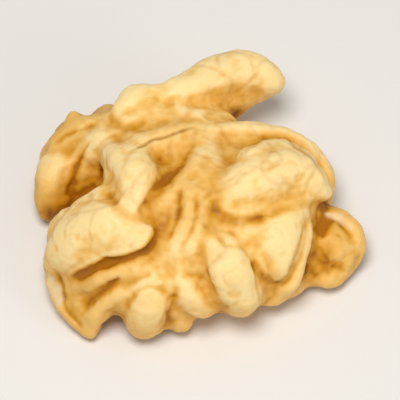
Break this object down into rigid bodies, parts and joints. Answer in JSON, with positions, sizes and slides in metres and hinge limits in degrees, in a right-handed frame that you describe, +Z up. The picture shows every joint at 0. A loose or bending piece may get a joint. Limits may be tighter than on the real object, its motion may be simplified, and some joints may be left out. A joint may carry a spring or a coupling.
{
  "type": "walnut kernel half",
  "caption": "One half of a shelled walnut kernel, two wrinkled lobes joined at the middle, lying on its rim with the outer side up.",
  "frame": {"origin": "centre of the kernel's box, at the level of the rim that it rests on", "axes": "+X along the length of the kernel, to the side lobe; +Y from the large front lobe to the back lobe; +Z up, out of the wrinkled outer side"},
  "size_m": [0.0318, 0.0286, 0.0131],
  "materials": {
    "kernel_skin": "thin golden-tan skin with darker veins, slightly oily, pale where it is chipped"
  },
  "bodies": {
    "root": {"walnut_kernel_half": "kernel_skin"}
  },
  "joints": []
}
